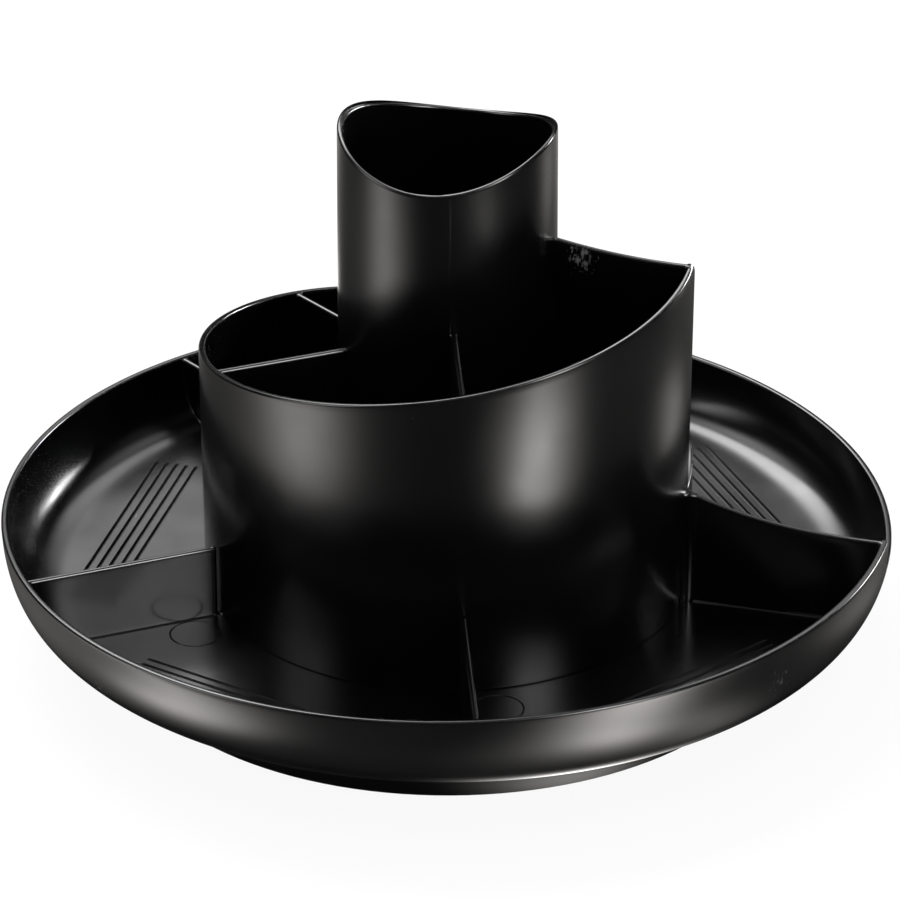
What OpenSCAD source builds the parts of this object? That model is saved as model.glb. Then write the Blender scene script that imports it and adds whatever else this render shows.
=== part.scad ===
// Rotary desk organizer: a spiral tray and a spiral tower on a ball-bearing turntable base.
// Everything turns about the Z axis. The base stands on z = 0, and -Y is the front.
// Each rim falls in one clockwise turn (seen from above) from the seam to the seam.

/* [Tray] */
// Greatest diameter of the tray
tray_d = 280; // [270:1:290]
// Height of the tray's rim where its spiral starts
tray_rim_high = 49.6; // [47:0.2:52]
// Height of the tray's rim where its spiral ends
tray_rim_low = 38.4; // [34:0.2:42]
// Height of the tray's underside
tray_bottom = 18; // [17.8:0.1:18.6]
// Thickness of the tray's floor
tray_floor = 2.8; // [2.4:0.1:3.2]
// Number of compartments round the tray and round the tower
compartments = 5; // [4:1:6]
// Clockwise angle of the seam from +X
seam = 14.5; // [0:0.5:30]
// Thickness of the walls and dividers
wall = 2; // [1.8:0.1:2.4]
// Number of grooves in the floor of each compartment
groove_count = 5; // [3:1:6]

/* [Tower] */
// Diameter of the tower at its foot
tower_d = 152.8; // [148:0.4:156]
// Height of the tower's rim where its spiral starts
tower_rim_high = 136.4; // [120:0.2:150]
// Height of the tower's rim where its spiral ends
tower_rim_low = 59.5; // [54:0.5:64]
// Height of the tower's floor
tower_floor = 33; // [32:0.5:38]
// Diameter of the pencil cup at its foot
cup_d = 68.4; // [60:0.2:72]
// Height of the lowest points of the pencil cup's rim
cup_rim_low = 165.6; // [150:0.2:180]
// Radius of the scoop across the pencil cup's rim
scoop_r = 64.5; // [50:0.5:90]

/* [Base] */
// Diameter of the turntable base
base_d = 209.4; // [200:0.2:216]
// Height of the base's deck
deck_top = 14.2; // [14:0.1:14.4]
// How far the feet hold the base's skirt off the desk
stand_off = 1; // [0.6:0.1:1.4]
// Number of feet
foot_count = 4; // [4:1:6]

/* [Bearing] */
// Diameter of the bearing balls
ball_d = 6; // [5.6:0.1:6.2]
// Number of bearing balls
ball_count = 12; // [8:1:16]
// Diameter of the circle that the balls run on
race_d = 140; // [130:1:150]
// Diameter of the pivot under the tray
pivot_d = 16; // [14:0.5:18]

/* [Hidden] */
$fn = 96;
tray_r = tray_d / 2;
tray_top = tray_bottom + tray_floor;
section_angle = 360 / compartments;
spiral_steps = 72;
// How far joined solids run into each other, and cutters past a face
overlap = 1;

// Bowl section of the tray: a flat floor that curves up into a nearly upright wall
bowl_steps = 12;
bowl_power = 2.8;
bowl_flat_r = tray_r - 25.2;
bowl_inner_flat_r = bowl_flat_r + 3.2;
bowl_wall = wall + 0.2;

// Dividers, and the bead on a tray divider's end by the tower
divider_drop = 0.6;
bead_r = 1.4;
bead_gap = 0.3;
sail_power = 2.5;
sail_root_r = 3.5;

// Floor grooves
groove_w = 1.3;
groove_depth = 0.6;
groove_pitch = 3.35;
groove_length = 94;
groove_inner = tray_r - 42.7;

// Tower and cup walls lean by a little for moulding
tower_r = tower_d / 2;
tower_lean = 0.8;
cup_r = cup_d / 2;
cup_lean = 0.7;
cup_wall = 1.9;
scoop_height = cup_rim_low + scoop_r;
cup_top = cup_rim_low + scoop_r - sqrt(pow(scoop_r, 2) - pow(cup_r, 2)) + 1;
step_rise = 4.5;
floor_thickness = 2;

// Screws that hold the tower to the tray
tower_screw_ring = 55;
tower_screw_r = 1.5;
tower_boss_r = 4;
screw_head_r = 3.4;
screw_head_h = 2.1;
screw_length = 11;
screw_slot_depth = 1.2;

// Base section
base_r = base_d / 2;
deck = 2.5;
base_wall = 2.2;
base_lean = 0.8;
shoulder = 2;
rib_count = 12;
rib_drop = 4;
rib_w = 1.8;
race_rib_w = 12;
race_rib_drop = 2;
foot_ring = 90;
foot_r = 6;
foot_recess = 1.5;
foot_chamfer = 0.6;
foot_boss_r = 8;
foot_boss_bottom = stand_off + 1;

// Bearing
race_r = race_d / 2;
ball_r = ball_d / 2;
ball_height = (deck_top + tray_bottom) / 2;
race_clearance = 0.06;
cage_w = 12;
cage_h = 1.8;
cage_hole_r = ball_r + 0.1;

// Pivot
pivot_r = pivot_d / 2;
pivot_clearance = 0.06;
collar_bottom = 7;
collar_w = 4;
pivot_bottom = collar_bottom - 0.4;
pivot_screw_r = 2;
pivot_screw_depth = 11;
washer_r = 13;
washer_h = 1.5;
washer_gap = 0.15;
pivot_head_r = 4;
pivot_head_h = 2.2;
pivot_slot_depth = 1.3;
fit_gap = 0.05;

plastic = [0.03, 0.03, 0.035];
rubber_grey = [0.12, 0.12, 0.12];
steel = [0.72, 0.73, 0.75];
nylon = [0.85, 0.84, 0.8];

// Height of a spiral rim at a fraction t of its turn
function spiral_z(t, high, low) = high + (low - high) * t;

// Curve in the r-z plane from a flat floor up into a wall
function bowl(flat_r, wall_r, low, high) = [
    for (i = [0 : bowl_steps])
        let (a = 90 * i / bowl_steps)
        [flat_r + (wall_r - flat_r) * pow(sin(a), 2 / bowl_power),
         high - (high - low) * pow(cos(a), 2 / bowl_power)]
];

// Falling edge from [r0, z0] that flattens out towards [r1, z1]
function swoop(r0, z0, r1, z1, power, steps = 16) = [
    for (i = [0 : steps])
        let (s = i / steps)
        [r0 + (r1 - r0) * s, z1 + (z0 - z1) * pow(1 - s, power)]
];

function reversed(points) = [for (i = [len(points) - 1 : -1 : 0]) points[i]];

bowl_outer = bowl(bowl_flat_r, tray_r, tray_bottom, tray_rim_high);
bowl_inner = bowl(bowl_inner_flat_r, tray_r - bowl_wall, tray_top, tray_rim_high);
bowl_middle = (bowl_outer + bowl_inner) / 2;

// Solid above a spiral rim, from inner_r to outer_r, that leaves a wall's thickness at the seam
module above_spiral(inner_r, outer_r, high, low) {
    gap = wall / outer_r * 180 / PI;
    top = high + 5;
    points = [
        for (i = [0 : spiral_steps])
            let (t = i / spiral_steps, a = -seam - gap / 2 - (360 - gap) * t, z = spiral_z(t, high, low))
            each [for (p = [[inner_r, z], [outer_r, z], [outer_r, top], [inner_r, top]])
                [p[0] * cos(a), p[0] * sin(a), p[1]]]
    ];
    last = spiral_steps * 4;
    sides = [
        for (i = [0 : spiral_steps - 1], k = [0 : 3])
            [(i + 1) * 4 + k, (i + 1) * 4 + (k + 1) % 4, i * 4 + (k + 1) % 4, i * 4 + k]
    ];
    polyhedron(points, concat([[0, 1, 2, 3]], sides, [[last + 3, last + 2, last + 1, last]]), convexity = 8);
}

// Upright plate on a radius, from its outline in the r-z plane
module radial_plate(angle, outline) {
    rotate([0, 0, -angle])
        rotate([90, 0, 0])
            linear_extrude(wall, center = true)
                polygon(outline);
}

module at_angle(angle, r) {
    rotate([0, 0, -angle])
        translate([r, 0, 0])
            children();
}

// A tray plate's outline: the top edge from the tower outwards, then back down inside the tray's wall
function tray_plate(inner_r, top_edge, top_z) = concat(
    [[inner_r, tray_top - overlap]],
    top_edge,
    reversed([for (p = bowl_middle) if (p[1] < top_z - 0.5) p])
);

module tray_divider(k) {
    t = k / compartments;
    top_z = spiral_z(t, tray_rim_high, tray_rim_low) - divider_drop;
    inner_r = tower_r + tower_lean + bead_gap + bead_r;
    radial_plate(seam + k * section_angle,
        tray_plate(inner_r, [[inner_r, top_z], [tray_r - wall * 0.7, top_z]], top_z));
    at_angle(seam + k * section_angle, inner_r)
        translate([0, 0, tray_top - overlap])
            cylinder(h = top_z - tray_top + overlap, r = bead_r);
}

// The tray's step wall: its edge sweeps down from the tower's low rim to the tray's high rim
module sail() {
    inner_r = tower_r + tower_lean;
    radial_plate(seam, tray_plate(inner_r,
        swoop(inner_r, tower_rim_low, tray_r - wall * 0.6, tray_rim_high, sail_power), tray_rim_high));
    rotate([0, 0, -seam])
        translate([0, 0, tray_top - overlap])
            linear_extrude(tower_rim_low - tray_top + overlap)
                difference() {
                    translate([inner_r - overlap, -wall / 2 - sail_root_r])
                        square([sail_root_r + overlap, sail_root_r + wall / 2]);
                    circle(inner_r);
                    translate([inner_r + sail_root_r, -wall / 2 - sail_root_r])
                        circle(sail_root_r);
                }
}

module floor_grooves() {
    for (k = [0 : compartments - 1], g = [0 : groove_count - 1])
        at_angle(seam + (k + 0.5) * section_angle, groove_inner + g * groove_pitch)
            translate([0, 0, tray_top])
                cube([groove_w, groove_length, 2 * groove_depth], center = true);
}

module tray() {
    color(plastic)
        difference() {
            union() {
                difference() {
                    rotate_extrude()
                        polygon(concat([[0, tray_bottom]], bowl_outer, reversed(bowl_inner), [[0, tray_top]]));
                    above_spiral(tray_r - 12, tray_r + 5, tray_rim_high, tray_rim_low);
                }
                for (k = [1 : compartments - 1])
                    tray_divider(k);
                sail();
                translate([0, 0, pivot_bottom])
                    cylinder(h = tray_bottom - pivot_bottom + overlap, r = pivot_r);
            }
            floor_grooves();
            translate([0, 0, ball_height])
                rotate_extrude()
                    translate([race_r, 0])
                        circle(ball_r + race_clearance);
            for (k = [0 : compartments - 1])
                at_angle(seam + (k + 0.5) * section_angle, tower_screw_ring)
                    translate([0, 0, tray_bottom - overlap])
                        cylinder(h = tray_floor + 2 * overlap, r = tower_screw_r + fit_gap);
            translate([0, 0, pivot_bottom - overlap])
                cylinder(h = pivot_screw_depth + overlap, r = pivot_screw_r + fit_gap);
        }
}

// Tier wall, floor and cup in section
module tower_section() {
    wall_top_r = tower_r + tower_lean;
    cup_top_r = cup_r - cup_lean;
    polygon([
        [0, tower_floor - floor_thickness],
        [tower_r - wall, tower_floor - floor_thickness],
        [tower_r - wall, tray_top],
        [tower_r, tray_top],
        [wall_top_r, tower_rim_high],
        [wall_top_r - wall, tower_rim_high],
        [tower_r - wall, tower_floor],
        [cup_r, tower_floor],
        [cup_top_r, cup_top],
        [cup_top_r - cup_wall, cup_top],
        [cup_r - cup_wall, tower_floor],
        [0, tower_floor]
    ]);
}

module tower_plate(angle, top_edge) {
    inner_r = cup_r - cup_wall / 2;
    outer_r = tower_r - wall / 2;
    radial_plate(angle, concat(
        [[outer_r, tower_floor - overlap], [inner_r, tower_floor - overlap]],
        top_edge
    ));
}

module tower_dividers() {
    for (k = [1 : compartments - 1]) {
        top_z = spiral_z(k / compartments, tower_rim_high, tower_rim_low) - divider_drop;
        tower_plate(seam + k * section_angle, [[cup_r - cup_wall / 2, top_z], [tower_r - wall / 2, top_z]]);
    }
}

module tower() {
    color(plastic)
        difference() {
            union() {
                difference() {
                    rotate_extrude()
                        tower_section();
                    above_spiral(tower_r - 12, tower_r + 12, tower_rim_high, tower_rim_low);
                    rotate([0, 0, -seam])
                        translate([0, 0, scoop_height])
                            rotate([90, 0, 0])
                                cylinder(h = cup_d * 1.5, r = scoop_r, center = true);
                }
                tower_plate(seam, swoop(cup_r - cup_wall / 2, tower_rim_high + step_rise,
                    tower_r - wall / 2, tower_rim_high, 2));
                tower_dividers();
                for (k = [0 : compartments - 1])
                    at_angle(seam + (k + 0.5) * section_angle, tower_screw_ring)
                        translate([0, 0, tray_top])
                            cylinder(h = tower_floor - floor_thickness - tray_top + overlap, r = tower_boss_r);
            }
            for (k = [0 : compartments - 1])
                at_angle(seam + (k + 0.5) * section_angle, tower_screw_ring)
                    translate([0, 0, tray_top - overlap])
                        cylinder(h = tower_floor - floor_thickness - tray_top, r = tower_screw_r + fit_gap);
        }
}

// Pan-head screw with its head's underside at z = 0 and its shank upwards
module screw(head_r, head_h, shank_r, length) {
    translate([0, 0, -head_h])
        cylinder(h = head_h * 0.45, r1 = head_r * 0.72, r2 = head_r);
    translate([0, 0, -head_h * 0.55])
        cylinder(h = head_h * 0.55, r = head_r);
    cylinder(h = length - shank_r, r = shank_r);
    translate([0, 0, length - shank_r])
        cylinder(h = shank_r, r1 = shank_r, r2 = shank_r * 0.3);
}

// Cross slot for a screwdriver, cut from below
module cross_slot(size, depth) {
    for (a = [0, 90])
        rotate([0, 0, a])
            cube([size, size * 0.22, depth * 2], center = true);
}

module tower_screws() {
    color(steel)
        for (k = [0 : compartments - 1])
            at_angle(seam + (k + 0.5) * section_angle, tower_screw_ring)
                translate([0, 0, tray_bottom])
                    difference() {
                        screw(screw_head_r, screw_head_h, tower_screw_r, screw_length);
                        translate([0, 0, -screw_head_h])
                            cross_slot(screw_head_r, screw_slot_depth);
                    }
}

module pivot_washer() {
    color(steel)
        translate([0, 0, pivot_bottom - washer_h])
            difference() {
                cylinder(h = washer_h, r = washer_r);
                translate([0, 0, -overlap])
                    cylinder(h = washer_h + 2 * overlap, r = pivot_screw_r + washer_gap);
            }
}

module pivot_screw() {
    color(steel)
        translate([0, 0, pivot_bottom - washer_h])
            difference() {
                screw(pivot_head_r, pivot_head_h, pivot_screw_r, washer_h + pivot_screw_depth - 1);
                translate([0, 0, -pivot_head_h])
                    cross_slot(pivot_head_r, pivot_slot_depth);
            }
}

module base_section() {
    deck_bottom = deck_top - deck;
    polygon([
        [pivot_r + pivot_clearance, collar_bottom],
        [pivot_r + pivot_clearance + collar_w, collar_bottom],
        [pivot_r + pivot_clearance + collar_w, deck_bottom],
        [race_r - race_rib_w / 2, deck_bottom],
        [race_r - race_rib_w / 2, deck_bottom - race_rib_drop],
        [race_r + race_rib_w / 2, deck_bottom - race_rib_drop],
        [race_r + race_rib_w / 2, deck_bottom],
        [base_r - base_lean - base_wall, deck_bottom],
        [base_r - base_wall, stand_off],
        [base_r, stand_off],
        [base_r - base_lean, deck_top - shoulder],
        [base_r - base_lean - shoulder * 0.3, deck_top - shoulder * 0.3],
        [base_r - base_lean - shoulder, deck_top],
        [pivot_r + pivot_clearance, deck_top]
    ]);
}

module base_ribs() {
    inner_r = pivot_r + collar_w - overlap;
    for (k = [0 : rib_count - 1])
        rotate([0, 0, (k + 0.5) * 360 / rib_count])
            translate([inner_r, -rib_w / 2, deck_top - deck - rib_drop])
                cube([base_r - base_wall - inner_r, rib_w, rib_drop + overlap]);
}

module base_plate() {
    color(plastic)
        difference() {
            union() {
                rotate_extrude()
                    base_section();
                base_ribs();
                for (i = [1 : foot_count])
                    at_foot(i)
                        translate([0, 0, foot_boss_bottom])
                            cylinder(h = deck_top - deck - foot_boss_bottom + overlap, r = foot_boss_r);
            }
            for (i = [1 : foot_count])
                at_foot(i)
                    translate([0, 0, foot_boss_bottom - overlap])
                        cylinder(h = foot_recess + overlap, r = foot_r + fit_gap);
            translate([0, 0, ball_height])
                rotate_extrude()
                    translate([race_r, 0])
                        circle(ball_r + race_clearance);
        }
}

module at_foot(i) {
    rotate([0, 0, (i - 0.5) * 360 / foot_count])
        translate([foot_ring, 0, 0])
            children();
}

module foot(i) {
    color(rubber_grey)
        at_foot(i) {
            cylinder(h = foot_chamfer, r1 = foot_r - foot_chamfer, r2 = foot_r);
            translate([0, 0, foot_chamfer])
                cylinder(h = foot_boss_bottom + foot_recess - foot_chamfer, r = foot_r);
        }
}

module at_ball(i) {
    rotate([0, 0, i * 360 / ball_count])
        translate([race_r, 0, ball_height])
            children();
}

module ball_cage() {
    color(nylon)
        difference() {
            translate([0, 0, ball_height - cage_h / 2])
                difference() {
                    cylinder(h = cage_h, r = race_r + cage_w / 2);
                    translate([0, 0, -overlap])
                        cylinder(h = cage_h + 2 * overlap, r = race_r - cage_w / 2);
                }
            for (i = [1 : ball_count])
                at_ball(i)
                    cylinder(h = cage_h * 2, r = cage_hole_r, center = true);
        }
}

module bearing_ball(i) {
    color(steel)
        at_ball(i)
            sphere(ball_r);
}

tray();
tower();
tower_screws();
pivot_washer();
pivot_screw();
base_plate();
for (i = [1 : foot_count]) foot(i);
ball_cage();
for (i = [1 : ball_count]) bearing_ball(i);
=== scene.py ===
import math

import bmesh
import bpy
import numpy as np
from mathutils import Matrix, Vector


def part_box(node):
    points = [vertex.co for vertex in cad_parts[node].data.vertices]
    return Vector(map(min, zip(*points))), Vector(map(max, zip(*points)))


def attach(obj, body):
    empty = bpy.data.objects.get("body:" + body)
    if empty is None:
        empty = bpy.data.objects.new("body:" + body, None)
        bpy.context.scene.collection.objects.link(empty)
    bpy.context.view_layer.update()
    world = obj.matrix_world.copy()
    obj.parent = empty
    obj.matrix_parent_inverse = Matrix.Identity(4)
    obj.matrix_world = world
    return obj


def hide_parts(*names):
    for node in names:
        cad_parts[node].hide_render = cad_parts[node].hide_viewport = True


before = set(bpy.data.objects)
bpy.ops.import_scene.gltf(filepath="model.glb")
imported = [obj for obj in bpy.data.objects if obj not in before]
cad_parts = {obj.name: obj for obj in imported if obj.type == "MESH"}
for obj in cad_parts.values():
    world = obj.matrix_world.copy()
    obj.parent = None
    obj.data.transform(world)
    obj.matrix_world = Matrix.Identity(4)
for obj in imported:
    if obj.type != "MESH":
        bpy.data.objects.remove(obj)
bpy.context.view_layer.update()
MM = 0.001


def node_box(node):
    """A CAD node's lowest and highest corners, in millimetres."""
    low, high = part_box(node)
    return np.array(low) / MM, np.array(high) / MM


# ---------------------------------------------------------------- sizes, in millimetres
tray_low, tray_high = node_box("tray")

SEAM = 14.5             # clockwise angle of the seam from +X, in degrees
SECTIONS = 5
SECTION_ANGLE = 360 / SECTIONS
WALL = 2.0
COLUMNS = 480           # mesh columns in one turn

TRAY_R = 140.0
TRAY_RIM = (49.6, 38.4)
TRAY_BOTTOM = 18.0
TRAY_TOP = 20.8
BOWL_POWER = 2.8
BOWL_FLAT_R = 114.8
BOWL_INNER_FLAT_R = 118.0
BOWL_WALL = 2.2
SAIL_TOP = tray_high[2]
PIVOT_R = 8.0
PIVOT_BOTTOM = tray_low[2]
RACE_R = 70.0
RACE_CUT_R = 3.06
BALL_HEIGHT = 16.1

TOWER_R = 76.4
TOWER_LEAN = 0.8
TOWER_RIM = (136.4, 59.5)
TOWER_FLOOR = 33.0
TOWER_UNDERSIDE = 31.0
CUP_R = 34.2
CUP_LEAN = 0.7
CUP_WALL = 1.9
SCOOP_LOW = 165.6
SCOOP_R = 64.5
STEP_RISE = 4.5

LIP = 0.92              # rounding of the rims' and plates' top corners
FILLET = 0.7            # rounding between walls, dividers and floors
DIVIDER_DROP = 0.6
BEAD_R = 1.15
SAIL_ROOT_R = 3.5
SHOULDER = 1.6          # how far the tower's rim drops off at its outer corner by the seam
SHOULDER_ANGLE = 9      # and over how many degrees of the turn
PARTING_ANGLE = 89      # where the mould's parting line runs up the cup
PARTING_HEIGHT = 0.07   # how far that line stands out
SHARP_ANGLE = 34        # edges that turn by more degrees than this are shaded sharp

GROOVE_COUNT = 5
GROOVE_PITCH = 3.35
GROOVE_INNER = 97.3
GROOVE_LENGTH = 94.0
GROOVE_W = 1.3
GROOVE_DEPTH = 0.6
END_POINTS = 9          # mesh points round each end of a groove
MARK_R = 7.85           # rings that ejector pins leave
MARK_W = 0.6
MARK_DEPTH = 0.25
MARK_RING_R = 88.2
MARK_ANGLE = 65.6       # from each divider, clockwise
SCREW_RING_R = 55.0
SCREW_HOLE_R = 1.55
PIVOT_HOLE_R = 2.05


# ---------------------------------------------------------------- mesh helpers
def spiral_z(t, rim):
    high, low = rim
    return high + (low - high) * t


def bowl_point(a, flat_r, wall_r, low, high=TRAY_RIM[0]):
    """Point of the bowl's section at a, from 0 on the flat floor to pi / 2 at the top of the wall."""
    r = flat_r + (wall_r - flat_r) * math.sin(a) ** (2 / BOWL_POWER)
    z = high - (high - low) * math.cos(a) ** (2 / BOWL_POWER)
    return r, z


def bowl_angle(z, low, high=TRAY_RIM[0]):
    return math.acos(min(1.0, ((high - z) / (high - low)) ** (BOWL_POWER / 2)))


def bowl_outer(z):
    return bowl_point(bowl_angle(z, TRAY_BOTTOM), BOWL_FLAT_R, TRAY_R, TRAY_BOTTOM)


def bowl_inner(z):
    return bowl_point(bowl_angle(z, TRAY_TOP), BOWL_INNER_FLAT_R, TRAY_R - BOWL_WALL, TRAY_TOP)


def corner(start, tip, end, steps=5):
    """Rounded corner from start to end, with tip where the two edges would meet."""
    start, tip, end = np.array(start), np.array(tip), np.array(end)
    ts = np.linspace(0, 1, steps + 1)[:, None]
    return [tuple(p) for p in (1 - ts) ** 2 * start + 2 * ts * (1 - ts) * tip + ts ** 2 * end]


def lip(outer_r, inner_r, outer_z, inner_z, shoulder=0.0):
    """Rounded top of a wall, from its outer face to its inner face; shoulder lowers the outer corner."""
    outside = corner((outer_r, outer_z - LIP - shoulder), (outer_r, outer_z - shoulder * 0.6),
                     (outer_r - LIP, outer_z), 7)
    inside = corner((inner_r + LIP, inner_z), (inner_r, inner_z), (inner_r, inner_z - LIP), 7)
    return outside + inside


def make_object(name, points, faces):
    mesh = bpy.data.meshes.new(name)
    mesh.from_pydata((np.asarray(points) * MM).tolist(), [], faces)
    mesh.validate()
    edit = bmesh.new()
    edit.from_mesh(mesh)
    bmesh.ops.recalc_face_normals(edit, faces=edit.faces)
    edit.to_mesh(mesh)
    edit.free()
    piece = bpy.data.objects.new(name, mesh)
    bpy.context.scene.collection.objects.link(piece)
    return piece


def join_shells(name, shells):
    """One object from separate closed shells, each given as (points, faces)."""
    points, faces = [], []
    for shell_points, shell_faces in shells:
        start = len(points)
        points.extend(map(tuple, shell_points))
        faces.extend([[start + i for i in f] for f in shell_faces])
    return make_object(name, points, faces)


def revolved(name, section, step_gap=0.05):
    """Closed solid of revolution whose section, section(t), changes over one clockwise turn.

    At the seam it steps back to where it began."""
    turns = [j / COLUMNS for j in range(COLUMNS)] + [1.0]
    columns = np.array([section(t) for t in turns])
    r, z = columns[:, :, 0], columns[:, :, 1]
    behind_seam = np.arcsin(np.clip(0.98 * WALL / 2 / np.maximum(r, 20), 0, 1))
    angle = math.radians(SEAM) - behind_seam + 2 * math.pi * np.array(turns)[:, None]
    angle[-1] -= step_gap / np.maximum(r[-1], 20)
    points = np.stack([r * np.cos(angle), -r * np.sin(angle), z], axis=2)
    count, rows = r.shape
    faces = []
    for j in range(count):
        here, there = j * rows, (j + 1) % count * rows
        faces.extend([here + k, there + k, there + k + 1, here + k + 1] for k in range(rows - 1))
    faces.append([j * rows for j in reversed(range(count))])
    faces.append([j * rows + rows - 1 for j in range(count)])
    return make_object(name, points.reshape(-1, 3), faces)


def turned(section, centre=(0, 0), steps=24):
    """Closed shell turned about a vertical axis from its section, which starts and ends on the axis."""
    ring = section[1:-1]
    points = [(centre[0], centre[1], section[0][1])]
    for j in range(steps):
        a = 2 * math.pi * j / steps
        points.extend((centre[0] + r * math.cos(a), centre[1] + r * math.sin(a), z) for r, z in ring)
    points.append((centre[0], centre[1], section[-1][1]))
    rows, last, faces = len(ring), len(points) - 1, []
    for j in range(steps):
        here, there = 1 + j * rows, 1 + (j + 1) % steps * rows
        faces.append([0, there, here])
        faces.extend([here + k, there + k, there + k + 1, here + k + 1] for k in range(rows - 1))
        faces.append([last, here + rows - 1, there + rows - 1])
    return points, faces


def at_angle(angle, r):
    a = math.radians(angle)
    return r * math.cos(a), -r * math.sin(a)


def fillet(distance, radius=FILLET):
    """How far a face stands out at this distance from the surface that it meets."""
    d = np.clip(distance, 0, radius)
    return radius - np.sqrt(np.maximum(radius ** 2 - (radius - d) ** 2, 0))


def plate(angle, radii, bottom, top, reach, root=None, rows=26):
    """Upright radial plate as (points, faces): top edge rounded, foot and ends flared into other walls.

    bottom(r) and top(r) are its edges, reach(r, z) is the distance to the nearest wall or floor,
    and root(r) is how far its clockwise face stands out at a root."""
    chains = []
    for r in radii:
        low, high = bottom(r), top(r)
        zs = low + (high - LIP - low) * np.linspace(0, 1, rows) ** 1.8
        half = WALL / 2 + fillet(np.array([reach(r, z) for z in zs]))
        clock = half if root is None else np.maximum(half, WALL / 2 + root(r))
        up = [(half[i], zs[i]) for i in range(rows - 1)]
        over = (corner((half[-1], high - LIP), (half[-1], high), (half[-1] - LIP, high), 4)
                + corner((LIP - clock[-1], high), (-clock[-1], high), (-clock[-1], high - LIP), 4))
        down = [(-clock[i], zs[i]) for i in reversed(range(rows - 1))]
        chains.append([(r, w, z) for w, z in up + over + down])
    a = math.radians(angle)
    flat = np.array(chains)
    points = np.stack([flat[..., 0] * math.cos(a) + flat[..., 1] * math.sin(a),
                       -flat[..., 0] * math.sin(a) + flat[..., 1] * math.cos(a), flat[..., 2]], axis=2)
    count, size = flat.shape[:2]
    faces = []
    for i in range(count - 1):
        here, there = i * size, (i + 1) * size
        faces.extend([here + k, there + k, there + (k + 1) % size, here + (k + 1) % size]
                     for k in range(size))
    faces.append([k for k in range(size)])
    faces.append([(count - 1) * size + k for k in reversed(range(size))])
    return points.reshape(-1, 3), faces


def clustered(start, end, count):
    """Radii from start to end, closer together near both."""
    return start + (end - start) * (0.5 - 0.5 * np.cos(np.linspace(0, math.pi, count)))


def boolean(piece, tool, operation):
    """Unites piece with tool, or cuts tool from it, and removes tool."""
    change = piece.modifiers.new(operation, "BOOLEAN")
    change.operation = operation
    change.solver = "EXACT"
    change.object = tool
    evaluated = piece.evaluated_get(bpy.context.evaluated_depsgraph_get())
    made = bpy.data.meshes.new_from_object(evaluated)
    piece.modifiers.clear()
    edit = bmesh.new()
    edit.from_mesh(made)
    bmesh.ops.holes_fill(edit, edges=[edge for edge in edit.edges if edge.is_boundary])
    edit.to_mesh(made)
    edit.free()
    piece.data = made
    bpy.data.objects.remove(tool)


def smooth(piece):
    piece.data.shade_smooth()
    piece.data.set_sharp_from_angle(angle=math.radians(SHARP_ANGLE))


# ---------------------------------------------------------------- tray
def bowl_section(t):
    """The tray's section: pivot, underside, bearing groove, outer wall, rim, inner wall and floor."""
    rim = spiral_z(t, TRAY_RIM)
    shared = TRAY_RIM[1] - 2
    groove_half = math.sqrt(RACE_CUT_R ** 2 - (TRAY_BOTTOM - BALL_HEIGHT) ** 2)
    groove_start = math.atan2(TRAY_BOTTOM - BALL_HEIGHT, groove_half)
    groove = [(RACE_R + RACE_CUT_R * math.cos(a), BALL_HEIGHT + RACE_CUT_R * math.sin(a))
              for a in np.linspace(math.pi - groove_start, groove_start, 9)]
    under = ([(3, PIVOT_BOTTOM), (PIVOT_R - 0.5, PIVOT_BOTTOM), (PIVOT_R, PIVOT_BOTTOM + 0.5)]
             + corner((PIVOT_R, TRAY_BOTTOM - 1), (PIVOT_R, TRAY_BOTTOM), (PIVOT_R + 1, TRAY_BOTTOM), 3)
             + [(40, TRAY_BOTTOM), (60, TRAY_BOTTOM)] + groove
             + [(85, TRAY_BOTTOM), (100, TRAY_BOTTOM), (110, TRAY_BOTTOM)])
    outer = [bowl_point(a, BOWL_FLAT_R, TRAY_R, TRAY_BOTTOM)
             for a in np.linspace(0, bowl_angle(shared, TRAY_BOTTOM), 27)[:-1]]
    outer += [bowl_outer(shared + (rim - LIP - shared) * i / 10) for i in range(10)]
    outer_r, inner_r = bowl_outer(rim - LIP)[0], bowl_inner(rim - LIP)[0]
    top = lip(outer_r, inner_r, rim, rim)
    inner = [bowl_inner(shared + (rim - LIP - shared) * i / 10) for i in range(9, -1, -1)]
    inner += [bowl_point(a, BOWL_INNER_FLAT_R, TRAY_R - BOWL_WALL, TRAY_TOP)
              for a in np.linspace(bowl_angle(shared, TRAY_TOP), 0, 27)[1:]]
    floor = [(r, TRAY_TOP) for r in (116, 108, 98, 88, 80, 60, 30, 6)]
    return under + outer + top + inner + floor


def bowl_reach():
    """Distance from a point of the section to the bowl's inside."""
    curve = np.array([bowl_point(a, BOWL_INNER_FLAT_R, TRAY_R - BOWL_WALL, TRAY_TOP)
                      for a in np.linspace(0, math.pi / 2, 300)])

    def reach(r, z):
        if r <= BOWL_INNER_FLAT_R and z - TRAY_TOP < BOWL_INNER_FLAT_R - r + FILLET:
            return z - TRAY_TOP
        k = int(np.argmin((curve[:, 0] - r) ** 2 + (curve[:, 1] - z) ** 2))
        d = math.hypot(curve[k, 0] - r, curve[k, 1] - z)
        wall_r = curve[np.searchsorted(curve[:, 1], z).clip(0, 299), 0]
        return d if r < wall_r and z > TRAY_TOP else -d
    return reach


def bowl_middle_z(r):
    """Height of the middle of the bowl's wall at r, where the dividers' feet are."""
    middle_flat, middle_wall = (BOWL_FLAT_R + BOWL_INNER_FLAT_R) / 2, TRAY_R - BOWL_WALL / 2
    low = (TRAY_BOTTOM + TRAY_TOP) / 2
    if r <= middle_flat:
        return low
    a = math.asin(min(1.0, ((r - middle_flat) / (middle_wall - middle_flat)) ** (BOWL_POWER / 2)))
    return TRAY_RIM[0] - (TRAY_RIM[0] - low) * math.cos(a) ** (2 / BOWL_POWER)


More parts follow.
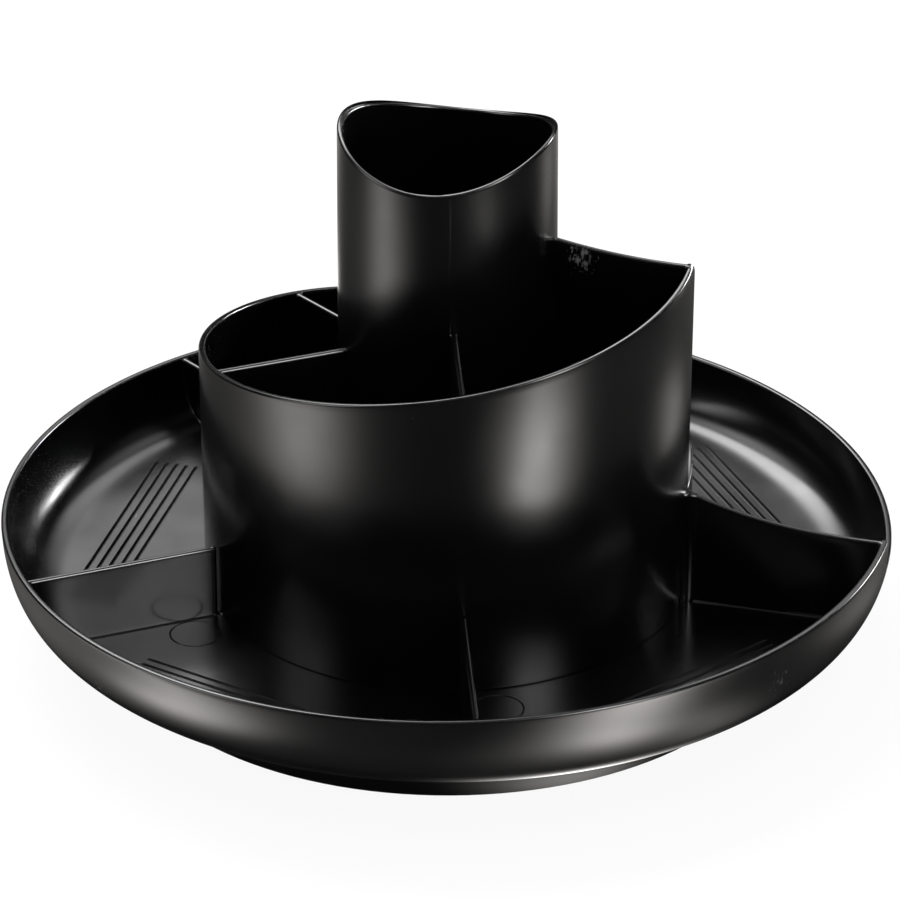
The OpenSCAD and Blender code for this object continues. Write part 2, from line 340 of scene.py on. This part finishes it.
def plate_end(top):
    """Radius in the middle of the tray's wall, far enough below a plate's top edge."""
    rs = np.linspace(120, TRAY_R - 1, 400)
    return max(r for r in rs if bowl_middle_z(r) < top - 3)


def tower_outer_r(z):
    return TOWER_R + TOWER_LEAN * (z - TRAY_TOP) / (TOWER_RIM[0] - TRAY_TOP)


def sail_top(r):
    inner, outer = tower_outer_r(SAIL_TOP), TRAY_R - WALL * 0.6
    s = min(1.0, max(0.0, (r - inner) / (outer - inner)))
    return TRAY_RIM[0] - 0.05 + (SAIL_TOP - TRAY_RIM[0]) * (1 - s) ** 2.5


def make_tray():
    tray = revolved("tray_moulding", bowl_section)
    reach = bowl_reach()
    inner_r = tower_outer_r(TRAY_RIM[0]) + 0.4 + BEAD_R
    plates, beads = [], []
    for k in range(1, SECTIONS):
        top = spiral_z(k / SECTIONS, TRAY_RIM) - DIVIDER_DROP
        angle = SEAM + k * SECTION_ANGLE
        radii = clustered(inner_r, plate_end(top), 60)
        plates.append(plate(angle, radii, bowl_middle_z, lambda r, top=top: top, reach))
        foot = [(BEAD_R + fillet(np.array(d)), TRAY_TOP + d) for d in (-0.6, 0, 0.1, 0.25, 0.45, 0.8)]
        rise = [(BEAD_R, z) for z in np.linspace(TRAY_TOP + 3, top - 1, 6)]
        section = [(0, TRAY_TOP - 0.6)] + foot + rise + corner(
            (BEAD_R, top - LIP), (BEAD_R, top + 0.02), (BEAD_R - LIP, top + 0.02), 4) + [(0, top + 0.02)]
        beads.append(turned(section, at_angle(angle, inner_r)))
    sail_start = tower_outer_r(SAIL_TOP) + 0.15
    radii = np.concatenate([[sail_start], sail_start + SAIL_ROOT_R * np.linspace(0.04, 1, 12),
                            clustered(sail_start + SAIL_ROOT_R + 1, plate_end(TRAY_RIM[0]), 70)])
    plates.append(plate(SEAM, radii, bowl_middle_z, sail_top, reach,
                        lambda r: fillet(np.array(r - sail_start), SAIL_ROOT_R)))
    boolean(tray, join_shells("plates", plates), "UNION")
    boolean(tray, join_shells("beads", beads), "UNION")
    cutters = groove_cutters() + mark_cutters() + screw_cutters()
    boolean(tray, join_shells("cutters", cutters), "DIFFERENCE")
    smooth(tray)
    return tray


def groove_cutters():
    """Cutters for the straight V-bottomed grooves in the floor: outlines with round ends, in levels."""
    half_width = GROOVE_W / 2
    levels = [(0.9, half_width + 0.02), (0.01, half_width + 0.02), (-0.13, half_width - 0.01),
              (-GROOVE_DEPTH, 0.01)]
    straight = GROOVE_LENGTH / 2 - GROOVE_W / 2
    cutters = []
    for k in range(SECTIONS):
        a = math.radians(SEAM + (k + 0.5) * SECTION_ANGLE)
        along, out = np.array([math.sin(a), math.cos(a)]), np.array([math.cos(a), -math.sin(a)])
        for g in range(GROOVE_COUNT):
            points, faces, size = [], [], 2 * END_POINTS
            for depth, half in levels:
                for end in (1, -1):
                    for s in np.linspace(-math.pi / 2, math.pi / 2, END_POINTS):
                        x = end * (straight + half * math.cos(s))
                        y = end * half * math.sin(s)
                        p = out * (GROOVE_INNER + g * GROOVE_PITCH + y) + along * x
                        points.append((p[0], p[1], TRAY_TOP + depth))
            for i in range(len(levels) - 1):
                upper, lower = i * size, (i + 1) * size
                faces.extend([upper + m, lower + m, lower + (m + 1) % size, upper + (m + 1) % size]
                             for m in range(size))
            faces.append(list(range(size)))
            faces.append([(len(levels) - 1) * size + m for m in reversed(range(size))])
            cutters.append((points, faces))
    return cutters


def mark_cutters():
    """Cutters for the shallow rings that ejector pins leave in the floor."""
    cutters = []
    for k in range(SECTIONS):
        x, y = at_angle(SEAM + k * SECTION_ANGLE + MARK_ANGLE, MARK_RING_R)
        inner, outer = MARK_R - MARK_W / 2, MARK_R + MARK_W / 2
        ring = [(inner, 0.3), (inner, 0.0), (MARK_R, -MARK_DEPTH), (outer, 0.0), (outer, 0.3)]
        points, steps, size = [], 64, len(ring)
        for j in range(steps):
            a = 2 * math.pi * j / steps
            points.extend((x + r * math.cos(a), y + r * math.sin(a), TRAY_TOP + d) for r, d in ring)
        faces = []
        for j in range(steps):
            here, there = j * size, (j + 1) % steps * size
            faces.extend([here + m, there + m, there + (m + 1) % size, here + (m + 1) % size]
                         for m in range(size))
        cutters.append((points, faces))
    return cutters


def screw_cutters():
    """Cutters for the screw holes through the tray's floor and up the pivot."""
    cutters = []
    for k in range(SECTIONS):
        centre = at_angle(SEAM + (k + 0.5) * SECTION_ANGLE, SCREW_RING_R)
        cutters.append(turned([(0, TRAY_BOTTOM - 1), (SCREW_HOLE_R, TRAY_BOTTOM - 1),
                               (SCREW_HOLE_R, TRAY_TOP + 1), (0, TRAY_TOP + 1)], centre))
    cutters.append(turned([(0, PIVOT_BOTTOM - 1), (PIVOT_HOLE_R, PIVOT_BOTTOM - 1),
                           (PIVOT_HOLE_R, PIVOT_BOTTOM + 11), (0, PIVOT_BOTTOM + 12)]))
    return cutters


# ---------------------------------------------------------------- tower
def scoop_z(angle, r):
    """Height of the scoop across the cup's rim, which runs along the seam's direction."""
    across = r * math.cos(angle - math.radians(SEAM))
    return SCOOP_LOW + SCOOP_R - math.sqrt(SCOOP_R ** 2 - across ** 2)


def cup_outer_r(z):
    return CUP_R - CUP_LEAN * (z - TOWER_FLOOR) / (CUP_TOP - TOWER_FLOOR)


CUP_TOP = SCOOP_LOW + SCOOP_R - math.sqrt(SCOOP_R ** 2 - CUP_R ** 2) + 1


def tower_section(t):
    """The tower's section: underside, foot, tier wall with its rim, floor, and the cup with its rim."""
    rim = spiral_z(t, TOWER_RIM)
    shared = TOWER_RIM[1] - 2
    inner_foot = TOWER_R - WALL
    angle = math.radians(SEAM) + 2 * math.pi * t
    wall_rows, cup_rows = 26, 16
    under = [(6, TOWER_UNDERSIDE), (40, TOWER_UNDERSIDE), (62, TOWER_UNDERSIDE)]
    under += corner((inner_foot - 1, TOWER_UNDERSIDE), (inner_foot, TOWER_UNDERSIDE),
                    (inner_foot, TOWER_UNDERSIDE - 1), 3)
    foot = (corner((inner_foot, TRAY_TOP + 0.3), (inner_foot, TRAY_TOP), (inner_foot + 0.3, TRAY_TOP), 3)
            + corner((TOWER_R - 0.25, TRAY_TOP), (TOWER_R, TRAY_TOP), (TOWER_R, TRAY_TOP + 0.25), 3))
    outer = [(tower_outer_r(z), z) for z in (TRAY_TOP + 1, TRAY_TOP + 8, TRAY_TOP + 20)]
    outer += [(tower_outer_r(z), z)
              for z in shared + (rim - LIP - SHOULDER - 0.3 - shared) * np.linspace(0, 1, wall_rows)]
    outer_r = tower_outer_r(rim)
    inner = [(tower_outer_r(z) - WALL, z)
             for z in shared + (rim - LIP - 0.3 - shared) * np.linspace(1, 0, wall_rows)]
    inner += [(tower_outer_r(z) - WALL, z) for z in (TOWER_FLOOR + 12, TOWER_FLOOR + 3)]
    wall_foot, cup_foot = tower_outer_r(TOWER_FLOOR) - WALL, cup_outer_r(TOWER_FLOOR)
    floor = (corner((wall_foot, TOWER_FLOOR + 1), (wall_foot, TOWER_FLOOR), (wall_foot - 1, TOWER_FLOOR), 4)
             + [(60, TOWER_FLOOR), (46, TOWER_FLOOR)]
             + corner((cup_foot + 1, TOWER_FLOOR), (cup_foot, TOWER_FLOOR), (cup_foot, TOWER_FLOOR + 1), 4))
    rim_r = cup_outer_r(SCOOP_LOW)
    outer_z, inner_z = scoop_z(angle, rim_r), scoop_z(angle, rim_r - CUP_WALL)
    low, high = TOWER_FLOOR + 3, outer_z - LIP - 0.3
    cup = [(cup_outer_r(z), z) for z in low + (high - low) * np.linspace(0, 1, cup_rows)]
    cup += lip(cup_outer_r(outer_z), cup_outer_r(inner_z) - CUP_WALL, outer_z, inner_z)
    high = inner_z - LIP - 0.3
    cup += [(cup_outer_r(z) - CUP_WALL, z) for z in low + (high - low) * np.linspace(1, 0, cup_rows)]
    inside = CUP_R - CUP_WALL
    cup += corner((inside, TOWER_FLOOR + 1.2), (inside, TOWER_FLOOR), (inside - 1.2, TOWER_FLOOR), 4)
    cup += [(20, TOWER_FLOOR), (6, TOWER_FLOOR)]
    shoulder = SHOULDER * max(0.0, 1 - t * 360 / SHOULDER_ANGLE) ** 2
    top = lip(outer_r, outer_r - WALL, rim, rim, shoulder)
    return under + foot + outer + top + inner + floor + cup


def tower_reach(r, z):
    """Distance from a point of the section to the tower's floor, the cup or the tier wall."""
    return min(z - TOWER_FLOOR, r - cup_outer_r(z), tower_outer_r(z) - WALL - r)


def step_top(r):
    inner, outer = CUP_R - CUP_WALL / 2, TOWER_R - WALL / 2
    s = min(1.0, max(0.0, (r - inner) / (outer - inner)))
    return TOWER_RIM[0] - 0.05 + STEP_RISE * (1 - s) ** 2


def parting_line():
    """Fine ridge up the outside of the cup, from the tower's floor to the cup's rim."""
    a = math.radians(PARTING_ANGLE)
    out, side = np.array([math.cos(a), -math.sin(a)]), np.array([math.sin(a), math.cos(a)])
    top = scoop_z(a, CUP_R) - LIP
    points = []
    for z in (TOWER_FLOOR + 0.5, top - 1.0, top):
        height = PARTING_HEIGHT if z < top else -0.05
        for across, stands in ((-0.3, -0.4), (-0.3, -0.02), (-0.12, height),
                               (0.12, height), (0.3, -0.02), (0.3, -0.4)):
            p = out * (cup_outer_r(z) + stands) + side * across
            points.append((p[0], p[1], z))
    faces = [[i * 6 + m, (i + 1) * 6 + m, (i + 1) * 6 + (m + 1) % 6, i * 6 + (m + 1) % 6]
             for i in (0, 1) for m in range(6)]
    return points, faces + [[0, 1, 2, 3, 4, 5], [17, 16, 15, 14, 13, 12]]


def make_tower():
    tower = revolved("tower_moulding", tower_section)
    start, end = CUP_R - CUP_LEAN - CUP_WALL / 2, TOWER_R - WALL / 2
    plates = []
    for k in range(1, SECTIONS):
        top = spiral_z(k / SECTIONS, TOWER_RIM) - DIVIDER_DROP
        plates.append(plate(SEAM + k * SECTION_ANGLE, clustered(start, end, 50),
                            lambda r: TOWER_FLOOR - 1, lambda r, top=top: top, tower_reach))
    plates.append(plate(SEAM, clustered(start, end + 0.6, 60), lambda r: TOWER_FLOOR - 1,
                        step_top, tower_reach, rows=36))
    boolean(tower, join_shells("plates", plates), "UNION")
    boolean(tower, join_shells("parting", [parting_line()]), "UNION")
    bosses, holes = [], []
    for k in range(SECTIONS):
        centre = at_angle(SEAM + (k + 0.5) * SECTION_ANGLE, SCREW_RING_R)
        top = TOWER_UNDERSIDE + 1
        bosses.append(turned([(0, TRAY_TOP), (3.7, TRAY_TOP), (4, TRAY_TOP + 0.3), (4, top), (0, top)],
                             centre))
        holes.append(turned([(0, TRAY_TOP - 1), (SCREW_HOLE_R, TRAY_TOP - 1),
                             (SCREW_HOLE_R, TRAY_TOP + 9.2), (0, TRAY_TOP + 9.2)], centre))
    boolean(tower, join_shells("bosses", bosses), "UNION")
    boolean(tower, join_shells("holes", holes), "DIFFERENCE")
    smooth(tower)
    return tower


# ---------------------------------------------------------------- materials
SCUFFS = [              # centre and radius in mm, share of the patch that is scuffed, how pale it is
    ((41.0, -11.5, 135.0), 8.0, 0.32, 0.12),
    ((99.0, -98.0, 36.5), 10.0, 0.24, 0.035),
    ((-104.4, -88.0, 28.5), 9.0, 0.24, 0.035),
    ((-60.0, -118.0, 33.0), 8.0, 0.22, 0.03),
]


class Nodes:
    """Short calls for building a node tree."""

    def __init__(self, tree):
        self.tree = tree
        tree.nodes.clear()

    def add(self, kind, settings=None, **inputs):
        node = self.tree.nodes.new(kind)
        for name, value in (settings or {}).items():
            setattr(node, name, value)
        for name, value in inputs.items():
            self.set(node, name.replace("_", " "), value)
        return node

    def set(self, node, name, value):
        """Links or sets an input, given by its name or, where names repeat, by its number."""
        socket = node.inputs[int(name) if name.isdigit() else name]
        if isinstance(value, bpy.types.NodeSocket):
            self.tree.links.new(value, socket)
        else:
            socket.default_value = value

    def math(self, operation, *values):
        node = self.add("ShaderNodeMath", {"operation": operation})
        for i, value in enumerate(values):
            self.set(node, str(i), value)
        return node.outputs[0]

    def noise(self, vector, scale, detail=3.0, roughness=0.5):
        node = self.add("ShaderNodeTexNoise", Vector=vector, Scale=scale, Detail=detail, Roughness=roughness)
        return node.outputs["Fac"]

    def remap(self, value, from_low, from_high, to_low=0.0, to_high=1.0):
        node = self.add("ShaderNodeMapRange", Value=value)
        limits = {"From Min": from_low, "From Max": from_high, "To Min": to_low, "To Max": to_high}
        for name, number in limits.items():
            node.inputs[name].default_value = number
        return node.outputs[0]

    def scaled(self, vector, scale, rotation=(0, 0, 0)):
        node = self.add("ShaderNodeMapping", Vector=vector)
        node.inputs["Scale"].default_value = scale
        node.inputs["Rotation"].default_value = rotation
        return node.outputs[0]

    def mix_colour(self, factor, first, second):
        node = self.add("ShaderNodeMix", {"data_type": "RGBA"})
        self.set(node, "0", factor)
        self.set(node, "6", first)
        self.set(node, "7", second)
        return node.outputs[2]

    def bump(self, height, strength, distance, normal=None):
        node = self.add("ShaderNodeBump", Height=height, Strength=strength, Distance=distance)
        if normal is not None:
            self.set(node, "Normal", normal)
        return node.outputs[0]


def new_material(name):
    material = bpy.data.materials.new(name)
    material.use_nodes = True
    nodes = Nodes(material.node_tree)
    shader = nodes.add("ShaderNodeBsdfPrincipled")
    output = nodes.add("ShaderNodeOutputMaterial")
    material.node_tree.links.new(shader.outputs[0], output.inputs[0])
    place = nodes.add("ShaderNodeTexCoord").outputs["Object"]
    return material, nodes, shader, place


def black_plastic():
    """Satin-gloss moulded plastic: faint flow waves, fine hairline scuffs and a few rubbed patches."""
    material, nodes, shader, place = new_material("black_moulded_plastic")
    waves = nodes.noise(place, 18, 2)
    cloud = nodes.noise(place, 60, 4)
    scratches = nodes.noise(nodes.scaled(place, (2600, 60, 900), (0.3, 0.5, 0.6)), 1, 2)
    scratch_mask = nodes.remap(scratches, 0.70, 0.78)
    patch = nodes.remap(nodes.noise(place, 35, 3), 0.52, 0.72)
    scuff = nodes.math("MULTIPLY", scratch_mask, patch)
    rough = nodes.remap(cloud, 0.3, 0.7, 0.19, 0.25)
    rough = nodes.math("MULTIPLY_ADD", scuff, 0.1, rough)
    colour = nodes.mix_colour(scuff, (0.0007, 0.0007, 0.0008, 1), (0.03, 0.03, 0.03, 1))
    rubbed = nodes.noise(nodes.scaled(place, (800, 800, 450)), 1, 5, 0.7)
    for centre, radius, share, pale in SCUFFS:
        away = nodes.add("ShaderNodeVectorMath", {"operation": "DISTANCE"}, **{"0": place})
        away.inputs[1].default_value = [c * MM for c in centre]
        near = nodes.remap(away.outputs["Value"], 0.0, radius * MM, 1.0, 0.0)
        worn = nodes.math("MULTIPLY_ADD", near, share, rubbed)
        faded = nodes.math("MINIMUM", nodes.math("MULTIPLY", near, 4.0), 1.0)
        worn = nodes.math("MULTIPLY", nodes.remap(worn, 0.72, 0.86), faded)
        colour = nodes.mix_colour(worn, colour, (pale, pale, pale * 1.04, 1))
        rough = nodes.math("MULTIPLY_ADD", worn, 0.3, rough)
    nodes.set(shader, "Roughness", rough)
    nodes.set(shader, "Base Color", colour)
    fine = nodes.noise(place, 2500, 2)
    normal = nodes.bump(waves, 0.25, 0.0002)
    normal = nodes.bump(fine, 0.05, 0.00002, normal)
    nodes.set(shader, "Normal", normal)
    shader.inputs["IOR"].default_value = 1.5
    return material


def simple_material(name, colour, metallic, rough_low, rough_high, grain, bump_strength=0.1):
    material, nodes, shader, place = new_material(name)
    texture = nodes.noise(place, grain, 4)
    nodes.set(shader, "Roughness", nodes.remap(texture, 0.3, 0.7, rough_low, rough_high))
    darker = tuple(c * 0.8 for c in colour) + (1,)
    nodes.set(shader, "Base Color", nodes.mix_colour(texture, darker, tuple(colour) + (1,)))
    nodes.set(shader, "Normal", nodes.bump(texture, bump_strength, 0.00005))
    shader.inputs["Metallic"].default_value = metallic
    return material


def paint(piece, material):
    piece.data.materials.clear()
    piece.data.materials.append(material)


# ---------------------------------------------------------------- build the pieces
plastic = black_plastic()
tray = make_tray()
tower = make_tower()
for piece, node in ((tray, "tray"), (tower, "tower")):
    paint(piece, plastic)
    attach(piece, "turntable")
    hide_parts(node)

rubber = simple_material("feet_rubber", (0.03, 0.03, 0.03), 0.0, 0.6, 0.8, 900)
steel = simple_material("ball_steel", (0.7, 0.71, 0.73), 1.0, 0.08, 0.14, 400, 0.02)
zinc = simple_material("zinc_plate", (0.6, 0.61, 0.63), 1.0, 0.25, 0.4, 700)
nylon = simple_material("nylon", (0.8, 0.79, 0.74), 0.0, 0.4, 0.5, 500)
paint(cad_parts["base_plate"], plastic)
for name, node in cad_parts.items():
    if name.startswith("foot_"):
        paint(node, rubber)
    elif name.startswith("bearing_ball_"):
        paint(node, steel)
    elif name == "ball_cage":
        paint(node, nylon)
    elif name in ("tower_screws", "pivot_washer", "pivot_screw"):
        paint(node, zinc)


# ---------------------------------------------------------------- floor, light and camera
FLOOR_SIZE = 8.0        # metres
FLOOR_WHITE = 0.93      # how far the floor's look is evened out to white
FLOOR_DIM = 0.07        # light between the patches
FLOOR_SHADE = (132, 165, 0.03)      # shade under the tray: inner and outer radius in mm, and what is left
# painted light: patches that glow on the floor and show only in the object's reflections
FLOOR_LIGHT = [         # centre in mm, direction in degrees, length and width in mm, strength
    ((-385, -165), 12, 190, 110, 3.0),
    ((-140, -135), 54, 15, 40, 4.8),
    ((-118, -122), 136, 36, 16, 5.5),
    ((-220, -132), 123, 70, 34, 3.8),
    ((-360, -140), 91, 250, 125, 0.5),
    ((168, -208), 19, 62, 40, 6.0),
    ((118, -188), 152, 62, 30, 9.5),
    ((76, -152), 27, 22, 18, 4.5),
    ((85, -100), 135, 40, 22, 2.0),
    ((330, 195), 120, 90, 34, 1.4),
    ((212, 70), 100, 40, 22, 1.6),
    ((180, -20), 90, 40, 18, 0.5),
    ((42, -104), 22, 24, 9, 160.0),
    ((260, -500), 86, 340, 140, 0.35),
    ((0, 620), 0, 420, 230, 1.6),
    ((-40, 255), 10, 70, 38, 2.6),
    ((60, 185), 160, 40, 16, 2.2),
]
STUDIO_DIM = 0.02
STUDIO_LIGHT = [        # azimuth clockwise from +Y, elevation and softness in degrees, strength
    ((-34, 0), (34, 62), 3, 10.5),
    ((0, 32), (33, 56), 4, 3.4),
    ((40, 66), (40, 60), 6, 1.5),
    ((-66, -40), (40, 60), 6, 3.4),
    ((-30, 0), (22, 33), 4, 0.95),
    ((49, 63), (8, 15.5), 2.5, 95.0),
    ((72, 96), (30, 50), 6, 0.25),
    ((-122, -96), (6, 50), 6, 4.5),
    ((130, 147), (14, 50), 5, 21.0),
    ((-200, 200), (70, 100), 4, 0.6),
    ((152, 200), (40, 62), 4, 0.9),
    ((-200, -152), (40, 62), 4, 0.9),
]
CAMERA_LENS = 204.77
CAMERA_ELEVATION = 27.556
CAMERA_DISTANCE = 1.6   # metres
CAMERA_TARGET = (0.77, 0, 63.34)


def make_floor():
    """Pale floor. What the object mirrors of it is set by FLOOR_LIGHT: painted patches of light that glow on
    the floor and show only in reflections, with painted shade under the tray.
    """
    mesh = bpy.data.meshes.new("floor")
    half = FLOOR_SIZE / 2
    corners = [(-half, -half, 0), (half, -half, 0), (half, half, 0), (-half, half, 0)]
    mesh.from_pydata(corners, [], [[0, 1, 2, 3]])
    floor = bpy.data.objects.new("floor", mesh)
    bpy.context.scene.collection.objects.link(floor)
    material, nodes, shader, place = new_material("pale_floor")
    cloud = nodes.noise(place, 3, 2)
    nodes.set(shader, "Base Color", nodes.mix_colour(cloud, (0.9, 0.9, 0.9, 1), (0.94, 0.94, 0.94, 1)))
    shader.inputs["Roughness"].default_value = 0.8
    shader.inputs["Specular IOR Level"].default_value = 0.0
    x, y, _ = nodes.add("ShaderNodeSeparateXYZ", Vector=place).outputs
    level = FLOOR_DIM
    for centre, turn, length, width, strength in FLOOR_LIGHT:
        c, s = math.cos(math.radians(turn)), math.sin(math.radians(turn))
        dx = nodes.math("SUBTRACT", x, centre[0] * MM)
        dy = nodes.math("SUBTRACT", y, centre[1] * MM)
        along = nodes.math("ADD", nodes.math("MULTIPLY", dx, c / length / MM),
                           nodes.math("MULTIPLY", dy, s / length / MM))
        across = nodes.math("SUBTRACT", nodes.math("MULTIPLY", dy, c / width / MM),
                            nodes.math("MULTIPLY", dx, s / width / MM))
        squares = nodes.math("ADD", nodes.math("MULTIPLY", along, along),
                             nodes.math("MULTIPLY", across, across))
        patch = nodes.math("EXPONENT", nodes.math("MULTIPLY", squares, -1.0))
        level = nodes.math("MULTIPLY_ADD", patch, strength, level)
    squares = nodes.math("ADD", nodes.math("MULTIPLY", x, x), nodes.math("MULTIPLY", y, y))
    from_axis = nodes.math("SQRT", squares)
    inner, outer, left_over = FLOOR_SHADE
    level = nodes.math("MULTIPLY", level, nodes.remap(from_axis, inner * MM, outer * MM, left_over, 1.0))
    # painted light and shade: the floor glows in the FLOOR_LIGHT patches, darkened under the tray, for
    # reflected rays only
    mirrored = nodes.add("ShaderNodeEmission", Color=(1.0, 0.97, 0.94, 1), Strength=level)
    bright = nodes.add("ShaderNodeEmission", Color=(1, 1, 1, 1), Strength=1.0)
    path = nodes.add("ShaderNodeLightPath")
    seen = nodes.add("ShaderNodeMixShader", Fac=FLOOR_WHITE)
    other = nodes.add("ShaderNodeMixShader", Fac=path.outputs["Is Glossy Ray"])
    output = next(n for n in material.node_tree.nodes if n.type == "OUTPUT_MATERIAL")
    link = material.node_tree.links.new
    link(shader.outputs[0], seen.inputs[1])
    link(bright.outputs[0], seen.inputs[2])
    link(seen.outputs[0], other.inputs[1])
    link(mirrored.outputs[0], other.inputs[2])
    link(other.outputs[0], output.inputs[0])
    paint(floor, material)


def make_world():
    """Studio surroundings: even white, and softboxes and cards that only the reflections show."""
    world = bpy.data.worlds.new("studio")
    bpy.context.scene.world = world
    world.use_nodes = True
    nodes = Nodes(world.node_tree)
    direction = nodes.add("ShaderNodeTexCoord").outputs["Generated"]
    x, y, z = nodes.add("ShaderNodeSeparateXYZ", Vector=direction).outputs
    azimuth = nodes.math("MULTIPLY", nodes.math("ARCTAN2", x, y), 180 / math.pi)
    elevation = nodes.math("MULTIPLY", nodes.math("ARCSINE", z), 180 / math.pi)
    total = STUDIO_DIM
    for (left, right), (low, high), softness, strength in STUDIO_LIGHT:
        edges = [nodes.remap(azimuth, left - softness, left + softness),
                 nodes.remap(azimuth, right - softness, right + softness, 1.0, 0.0),
                 nodes.remap(elevation, low - softness, low + softness),
                 nodes.remap(elevation, high - softness, high + softness, 1.0, 0.0)]
        box = edges[0]
        for edge in edges[1:]:
            box = nodes.math("MULTIPLY", box, edge)
        total = nodes.math("MULTIPLY_ADD", box, strength, total)
    glossy = nodes.add("ShaderNodeLightPath").outputs["Is Glossy Ray"]
    plain = nodes.math("SUBTRACT", 1.0, glossy)
    strength = nodes.math("MULTIPLY_ADD", total, glossy, plain)
    background = nodes.add("ShaderNodeBackground", Strength=strength, Color=(1, 1, 1, 1))
    output = nodes.add("ShaderNodeOutputWorld")
    world.node_tree.links.new(background.outputs[0], output.inputs[0])
    world.cycles.sampling_method = "NONE"


def make_light(name, direction, distance, size, power):
    data = bpy.data.lights.new(name, "AREA")
    data.shape, data.size, data.size_y, data.energy = "RECTANGLE", size[0], size[1], power
    light = bpy.data.objects.new(name, data)
    bpy.context.scene.collection.objects.link(light)
    towards = Vector(direction).normalized()
    light.location = towards * distance
    light.rotation_mode = "QUATERNION"
    light.rotation_quaternion = towards.to_track_quat("Z", "Y")
    light.visible_glossy = False


def make_camera():
    """Camera with a long lens, which looks down on the front."""
    data = bpy.data.cameras.new("camera")
    data.lens, data.sensor_width = CAMERA_LENS, 36
    camera = bpy.data.objects.new("camera", data)
    bpy.context.scene.collection.objects.link(camera)
    elevation = math.radians(CAMERA_ELEVATION)
    back = Vector((0, -math.cos(elevation), math.sin(elevation)))
    camera.location = Vector(CAMERA_TARGET) * MM + back * CAMERA_DISTANCE
    camera.rotation_mode = "QUATERNION"
    camera.rotation_quaternion = back.to_track_quat("Z", "Y")
    data.clip_start, data.clip_end = 0.05, 50
    bpy.context.scene.camera = camera


make_floor()
make_world()
make_light("softbox_top", (-0.25, 0.45, 1), 1.5, (1.0, 0.8), 22)
make_camera()
bpy.context.scene.view_settings.view_transform = "Standard"
